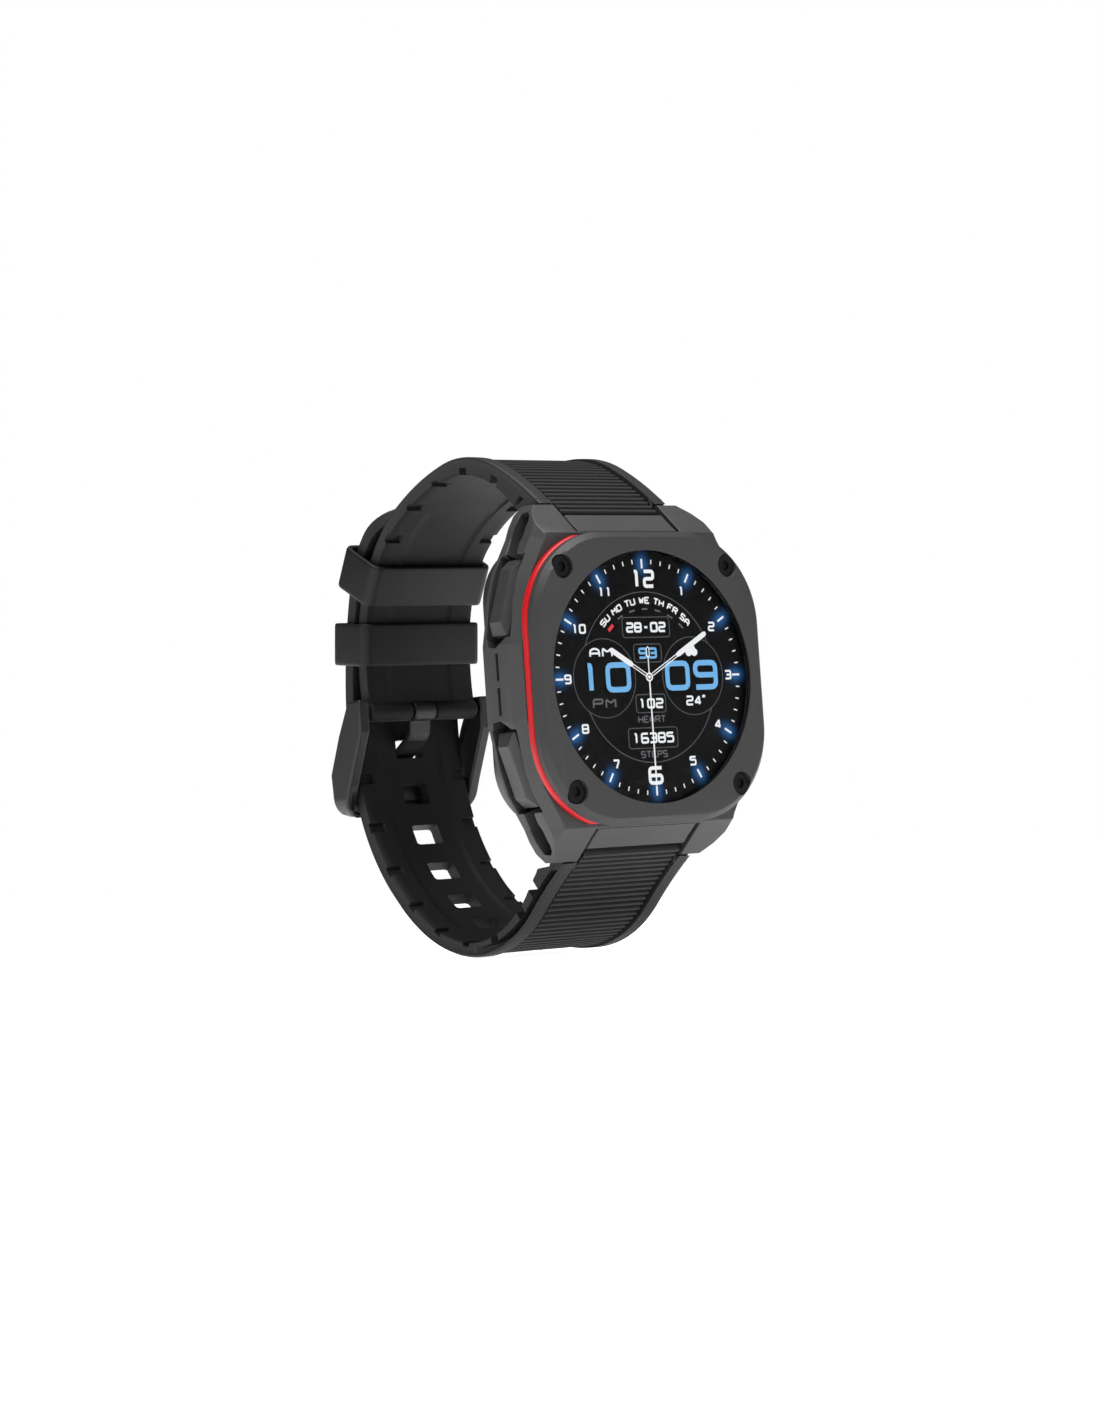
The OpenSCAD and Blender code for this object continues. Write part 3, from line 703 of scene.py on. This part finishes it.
def line_inside(made):
    """Gives a darker copy of the rubber, as painted shade, to each face whose normal leans towards the
    middle line of the wrist.
    """
    faces = made.data.polygons
    centres, normals = np.empty(3 * len(faces)), np.empty(3 * len(faces))
    faces.foreach_get("center", centres)
    faces.foreach_get("normal", normals)
    inward = WRIST_MIDDLE * MM + HEAD - centres.reshape(-1, 3)
    inward[:, 0] = 0
    facing = (inward * normals.reshape(-1, 3)).sum(1) / np.linalg.norm(inward, axis=1)
    made.data.materials.append(finishes["strap_lining"])
    faces.foreach_set("material_index", (facing > 0.35).astype(np.int32))


POCKET_PITCH = 8.3
HOLES = 76.1 - 7.2 * np.arange(6)
upper_pockets = 4.2 + POCKET_PITCH * np.arange(8)
lower_pockets = np.append(9.0, 13.7 + POCKET_PITCH * np.arange(8))
upper = strap(1, UPPER, last_rib=50.0, pockets=upper_pockets, holes=[], tip=0.3, groove=0.0, fork=1.3)
sleeves = [sleeve(1.53, 0.8, x0, x1, BUCKLE_BAR) for x0, x1 in ((-10.25, -2.3), (2.3, 10.25))]
lower = strap(-1, LOWER, last_rib=36.0, pockets=lower_pockets, holes=HOLES, tip=6.0, groove=1.7, fork=0)
for name, shells in (("strap_upper_ribbed", [upper, *sleeves, *rail_feet(1)]),
                     ("strap_lower_ribbed", [lower, *rail_feet(-1)])):
    made = piece(name, *joined(*shells), finishes["strap_rubber"], "watch", 40.0)
    line_inside(made)
    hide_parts(name.removesuffix("_ribbed"))
    print(name, "faces:", len(made.data.polygons))
for name, side in (("strap_block_upper", 1), ("strap_block_lower", -1)):
    made = piece(name, *lug_block(side), finishes["case_plastic"], "watch", 40.0)

# %% [markdown]
# A keeper is a loop of rubber. Its wall is carried round a rectangle with soft corners:
# each row of the grid is one place on the loop, and the columns run along the strap.


# %% Keepers
def round_box(half, low, high, r_low, r_high, steps=6):
    """A loop in (x, height) with four rounded corners, and its outward directions."""
    centres = np.array([[half - r_high, high - r_high], [r_high - half, high - r_high],
                        [r_low - half, low + r_low], [half - r_low, low + r_low]])
    turn = np.radians(np.arange(4)[:, None] * 90 + np.linspace(0, 90, steps))
    normals = np.stack([np.cos(turn), np.sin(turn)], -1)
    radii = np.array([r_high, r_high, r_low, r_low])[:, None, None]
    return (centres[:, None] + radii * normals).reshape(-1, 2), normals.reshape(-1, 2)


def keeper(name, at, inner, outer):
    loop, normals = round_box(11.0, -inner - 0.45, outer + 0.45, 1.2, 1.6)
    along = np.array([-3.3, -3.24, -3.05, -2.7, 0, 2.7, 3.05, 3.24, 3.3])
    wall = np.array([0.2, 0.33, 0.42, 0.45, 0.46, 0.45, 0.42, 0.33, 0.2])
    y0, z0, a = follow_arcs(UPPER, np.array([at]))
    sheets = []
    for sign in (1, -1):
        ring = loop[:, None] + sign * wall[:, None] * normals[:, None]
        sheets.append(np.stack([ring[..., 0], y0 - ring[..., 1] * np.sin(a) + along * np.cos(a),
                                z0 + ring[..., 1] * np.cos(a) + along * np.sin(a)], -1))
    faces = shell_faces(np.ones((len(loop), len(along) - 1), bool), wrap=True)
    made = piece(name + "_loop", np.stack(sheets), faces, finishes["keeper_rubber"], name, 50.0)
    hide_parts(name)
    print(name, "loop points:", len(loop))


keeper("keeper_upper", 54.5, 1.7, 6.2)
keeper("keeper_lower", 64.7, 1.5, 6.1)

# %% [markdown]
# The dial is drawn with strokes, like the segments of a plotter. A stroke is a thin ribbon just in
# front of the panel: two rows of points, offset to each side of a line by half its width. At a
# corner the offset is longer by one over the cosine of half the turn, which keeps the width even.

# %% Dial strokes
PANEL_FRONT = (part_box("display_panel")[0][1] - HEAD[1]) / MM


def eased(points, radius):
    """The line with each corner cut back by radius and replaced with a curve through 4 points."""
    points = np.array(points, float)
    if len(points) < 3:
        return points
    before, corner, after = points[:-2], points[1:-1], points[2:]
    into, out_of = before - corner, after - corner
    lengths = [np.linalg.norm(v, axis=1)[:, None] for v in (into, out_of)]
    share = [np.minimum(radius, 0.48 * length) / length for length in lengths]
    p, q = corner + into * share[0], corner + out_of * share[1]
    t = np.linspace(0, 1, 4)[None, :, None]
    curve = (1 - t) ** 2 * p[:, None] + 2 * t * (1 - t) * corner[:, None] + t ** 2 * q[:, None]
    return np.concatenate([points[:1], curve.reshape(-1, 2), points[-1:]])


def stroke(points, width, lift=0.0, closed=False):
    """A ribbon shell along points in dial radii. width is one number or one for each point."""
    points = np.array(points, float)
    step = np.roll(points, -1, 0) - points
    step = step / np.maximum(np.linalg.norm(step, axis=1), 1e-9)[:, None]
    last = np.roll(step, 1, 0)
    if not closed:
        step[-1], last[0] = step[-2], step[0]
    normal = np.stack([-(step + last)[:, 1], (step + last)[:, 0]], 1)
    normal /= np.linalg.norm(normal, axis=1)[:, None]
    cosine = np.clip((normal * np.stack([-step[:, 1], step[:, 0]], 1)).sum(1), 0.4, 1)
    offset = normal * (np.broadcast_to(width, len(points)) / 2 / cosine)[:, None]
    flat = np.stack([points - offset, points + offset], 1) * DIAL_R
    sheets = [np.dstack([flat[..., 0], np.full(flat.shape[:2], PANEL_FRONT - gap - lift), flat[..., 1]])
              for gap in (0.025, 0.010)]
    return np.stack(sheets), shell_faces(np.ones((len(points) - (not closed), 1), bool), wrap=closed)


def dial_piece(name, strokes, finish):
    made = piece(name, *joined(*strokes), finish, "watch", 60.0)
    print(name, "strokes:", len(strokes))


def ring_points(centre, radius, start=0.0, stop=360.0, steps=64):
    turn = np.radians(np.linspace(start, stop, steps, endpoint=stop - start < 360))
    return np.array(centre) + radius * np.stack([np.cos(turn), np.sin(turn)], 1)


def clock(minutes, radius):
    """The place on the dial at this minute mark and radius."""
    turn = np.radians(6 * np.asarray(minutes, float))
    return radius * np.array([np.sin(turn), np.cos(turn)])


print("panel front at depth, mm:", round(PANEL_FRONT, 3))

# %% [markdown]
# Each figure or letter is a few lines on a grid of 4 by 8 units, written as pairs of digits. Such
# a stroke alphabet is what instrument makers engrave with, and it needs no font file.

# %% Stroke alphabet
LETTERS = {
    "0": "20 40 48 08 00 20", "1": "18 28 20", "2": "08 48 44 04 00 40", "3": "08 48 40 00/14 44",
    "4": "30 38 02 42", "5": "48 08 05 45 40 00", "6": "48 08 00 40 44 04",
    "7": "08 48 20", "8": "20 40 48 08 00 20/04 44", "9": "00 40 48 08 04 44", "-": "14 34",
    "A": "00 06 28 46 40/03 43", "M": "00 08 24 48 40", "P": "00 08 48 44 04",
    "S": "00 40 44 04 08 48", "U": "08 00 40 48", "O": "20 40 48 08 00 20", "T": "08 48/28 20",
    "W": "08 10 26 30 48", "E": "48 08 00 40/04 34", "H": "00 08/40 48/04 44",
    "F": "00 08 48/04 34", "R": "00 08 48 44 04/24 40", "*": "06 08 28 26 06",
}


def write(text, centre, height, width, weight, turn=0.0, gap=0.38):
    """Strokes of a word in a box of this height and width, turned clockwise by turn degrees."""
    cell = (width - weight) / (len(text) + gap * (len(text) - 1))
    c, s = np.cos(np.radians(turn)), np.sin(np.radians(turn))
    made = []
    for place, letter in enumerate(text):
        for line in LETTERS[letter].split("/"):
            grid = np.array([[int(pair[0]) / 4, int(pair[1]) / 8 - 0.5] for pair in line.split()])
            shift = [place * cell * (1 + gap) - (width - weight) / 2, 0]
            flat = grid * [cell, height - weight] + shift
            closed = bool((flat[0] == flat[-1]).all())
            flat = eased(flat, 0.22 * cell)
            flat = flat[:-1] if closed else flat
            made.append(stroke(flat @ [[c, -s], [s, c]] + np.array(centre), weight, closed=closed))
    return made


print("letters in the alphabet:", len(LETTERS))

# %% [markdown]
# Places on the dial are given as a clock would: a minute and a share of the dial's radius. The
# marks and figures come first, then the readings, whose words and numbers are only examples.

# %% Dial: marks, figures and readings
hours = np.arange(12) * 5
ticks = [stroke([clock(m, 0.915), clock(m, 0.995)], 0.017) for m in hours]
ticks += [stroke([clock(m, 0.955), clock(m, 0.992)], 0.010) for m in range(60) if m % 5]
numerals = write("12", (0, 0.827), 0.155, 0.253, 0.030) + write("6", (0, -0.827), 0.155, 0.16, 0.030)
for hour in (1, 2, 3, 4, 5, 7, 8, 9, 10, 11):
    radius = 0.868 if hour in (3, 9) else 0.83
    numerals += write(str(hour), clock(hour * 5, radius), 0.082, 0.075 * len(str(hour)), 0.017)
dial_piece("dial_ticks", ticks, lit_white)
dial_piece("dial_numerals", numerals, lit_white)

time_row = []
for digit, x in zip("1009", (-0.625, -0.332, 0.31, 0.618)):
    time_row += write(digit, (x, 0.005), 0.252, 0.15 if digit == "1" else 0.268, 0.046)
dial_piece("dial_time", time_row + write("93", (0, 0.201), 0.095, 0.20, 0.020), lit_blue)
readings = (write("28-02", (0, 0.419), 0.088, 0.43, 0.019)
            + write("102", (0, -0.222), 0.086, 0.27, 0.018)
            + write("16385", (0, -0.511), 0.092, 0.45, 0.018)
            + write("AM", (-0.50, 0.217), 0.085, 0.25, 0.017)
            + write("24", (0.470, -0.209), 0.085, 0.17, 0.017)
            + write("*", (0.592, -0.193), 0.06, 0.05, 0.012))
days = ("SU", "MO", "TU", "WE", "TH", "FR", "SA")
dashes = []
for day, turn in zip(days, np.arange(-42, 43, 14)):
    readings += write(day, clock(turn / 6, 0.645), 0.060, 0.118, 0.013, turn)
    if day != "SU":
        dashes.append(stroke([clock((turn - 3) / 6, 0.573), clock((turn + 3) / 6, 0.573)], 0.014))
dial_piece("dial_readings", readings, lit_white)
dial_piece("dial_dashes", dashes, lit_grey)
dial_piece("dial_captions", write("PM", (-0.498, -0.209), 0.085, 0.25, 0.016)
           + write("HEART", (0, -0.354), 0.06, 0.30, 0.011)
           + write("STEPS", (0, -0.648), 0.06, 0.29, 0.011), lit_grey)
dial_piece("dial_day_marker", [stroke([clock(-7.6, 0.565), clock(-6.4, 0.565)], 0.030)], lit_red)

# %% [markdown]
# Two small rings hold the hours and the minutes, and one large ring holds the rest. The large ring
# is broken where the small ones cross it, at the angle that the law of cosines gives.

# %% Dial: rings and frames
SUB_X, SUB_R, BIG_R = 0.478, 0.33, 0.717


def frame_box(centre, width, height):
    x, z = width / 2, height / 2
    corners = [(0, -z), (x, -z), (x, z), (-x, z), (-x, -z), (0, -z)]
    return stroke((eased(corners, 0.03) + np.array(centre))[:-1], 0.008, closed=True)


meet = np.degrees(np.arccos((BIG_R**2 + SUB_X**2 - SUB_R**2) / (2 * BIG_R * SUB_X)))
rings = [stroke(ring_points((side * SUB_X, 0), SUB_R), 0.007, closed=True) for side in (-1, 1)]
rings += [stroke(ring_points((0, 0), BIG_R, start, 180 + start - 2 * meet), 0.008)
          for start in (meet, 180 + meet)]
rings += [frame_box((0, 0.419), 0.508, 0.169), frame_box((0, 0.201), 0.296, 0.152),
          frame_box((0, -0.222), 0.32, 0.152), frame_box((0, -0.511), 0.53, 0.17)]
dial_piece("dial_rings", rings, lit_line)

# %% [markdown]
# The hands are drawn on the display too: two thin lines from the hub, then a broad bar. They lie in
# front of the other marks, so their ribbons are lifted a little. The weather sign is a cloud of
# three puffs.


# %% Dial: hands and weather sign
def hand(tip, stem_share):
    tip = np.array(tip)
    edge = np.array([-tip[1], tip[0]]) / np.linalg.norm(tip) * 0.011
    bar = [tip * stem_share, tip * (stem_share + 0.04), tip * 0.97, tip]
    slot_sides = [stroke([tip * 0.06 + side * edge, tip * stem_share + side * edge], 0.008, 0.03)
                  for side in (-1, 1)]
    return [*slot_sides, stroke(bar, [0.026, 0.045, 0.045, 0.026], 0.04)]


hands = hand((-0.40, 0.24), 0.42) + hand((0.647, 0.362), 0.48)
second_eye = [(0, 0.16), (0.014, 0.18), (0.014, 0.24), (0, 0.255), (-0.014, 0.24), (-0.014, 0.18)]
hands += [stroke([(0, -0.91), (0, -0.03)], 0.014, 0.05),
          stroke([(0, 0.03), (0, 0.18)], 0.010, 0.05),
          stroke(second_eye, 0.008, 0.05, True),
          stroke(ring_points((0, 0), 0.031, steps=32), 0.014, 0.06, True),
          stroke([(-0.016, 0), (0, 0), (0.016, 0)], [0.012, 0.032, 0.012], 0.06)]
puffs = [((0.45, 0.2), 0.035), ((0.48, 0.235), 0.038), ((0.51, 0.2), 0.035)]
for (x, z), r in puffs:
    across = np.array([-1, -0.7, 0, 0.7, 1]) * r
    widths = np.array([0.3, 1.4, 2, 1.4, 0.3]) * r
    hands.append(stroke(np.stack([x + across, z + 0 * across], 1), widths))
dial_piece("dial_hands", hands, lit_white)

# %% [markdown]
# The floor is a plain pale disc under the strap. It gives back nearly as much light as the white
# room behind it, so its far edge does not show as a line.

# %% Floor
FLOOR_R, FLOOR_SIDES, FLOOR_GAP = 3.0, 96, 0.0003
floor_z = float(cad_box[0][2]) - FLOOR_GAP
turn = np.linspace(0, 2 * np.pi, FLOOR_SIDES, endpoint=False)
disc = np.stack([np.cos(turn) * FLOOR_R, np.sin(turn) * FLOOR_R, 0 * turn + floor_z], 1)
floor_mesh = bpy.data.meshes.new("floor")
floor_mesh.from_pydata(disc.tolist(), [], [list(range(FLOOR_SIDES))])
floor = bpy.data.objects.new("floor", floor_mesh)
bpy.context.scene.collection.objects.link(floor)
paper = Finish("pale_paper", Emission_Strength=0.95)
paper_grain = paper.noise(0.8)
paper.feed("Base Color", paper.between(paper_grain, (0.86, 0.86, 0.86), (0.9, 0.9, 0.9)))
paper.feed("Roughness", paper_grain * 0.1 + 0.8)
paper.feed("Emission Color", paper.between(paper_grain, (0.97, 0.97, 0.97), (1, 1, 1)))
floor_mesh.materials.append(paper.material)
print("floor height, m:", round(floor_z, 4))

# %% [markdown]

# %% End
print("scene built")
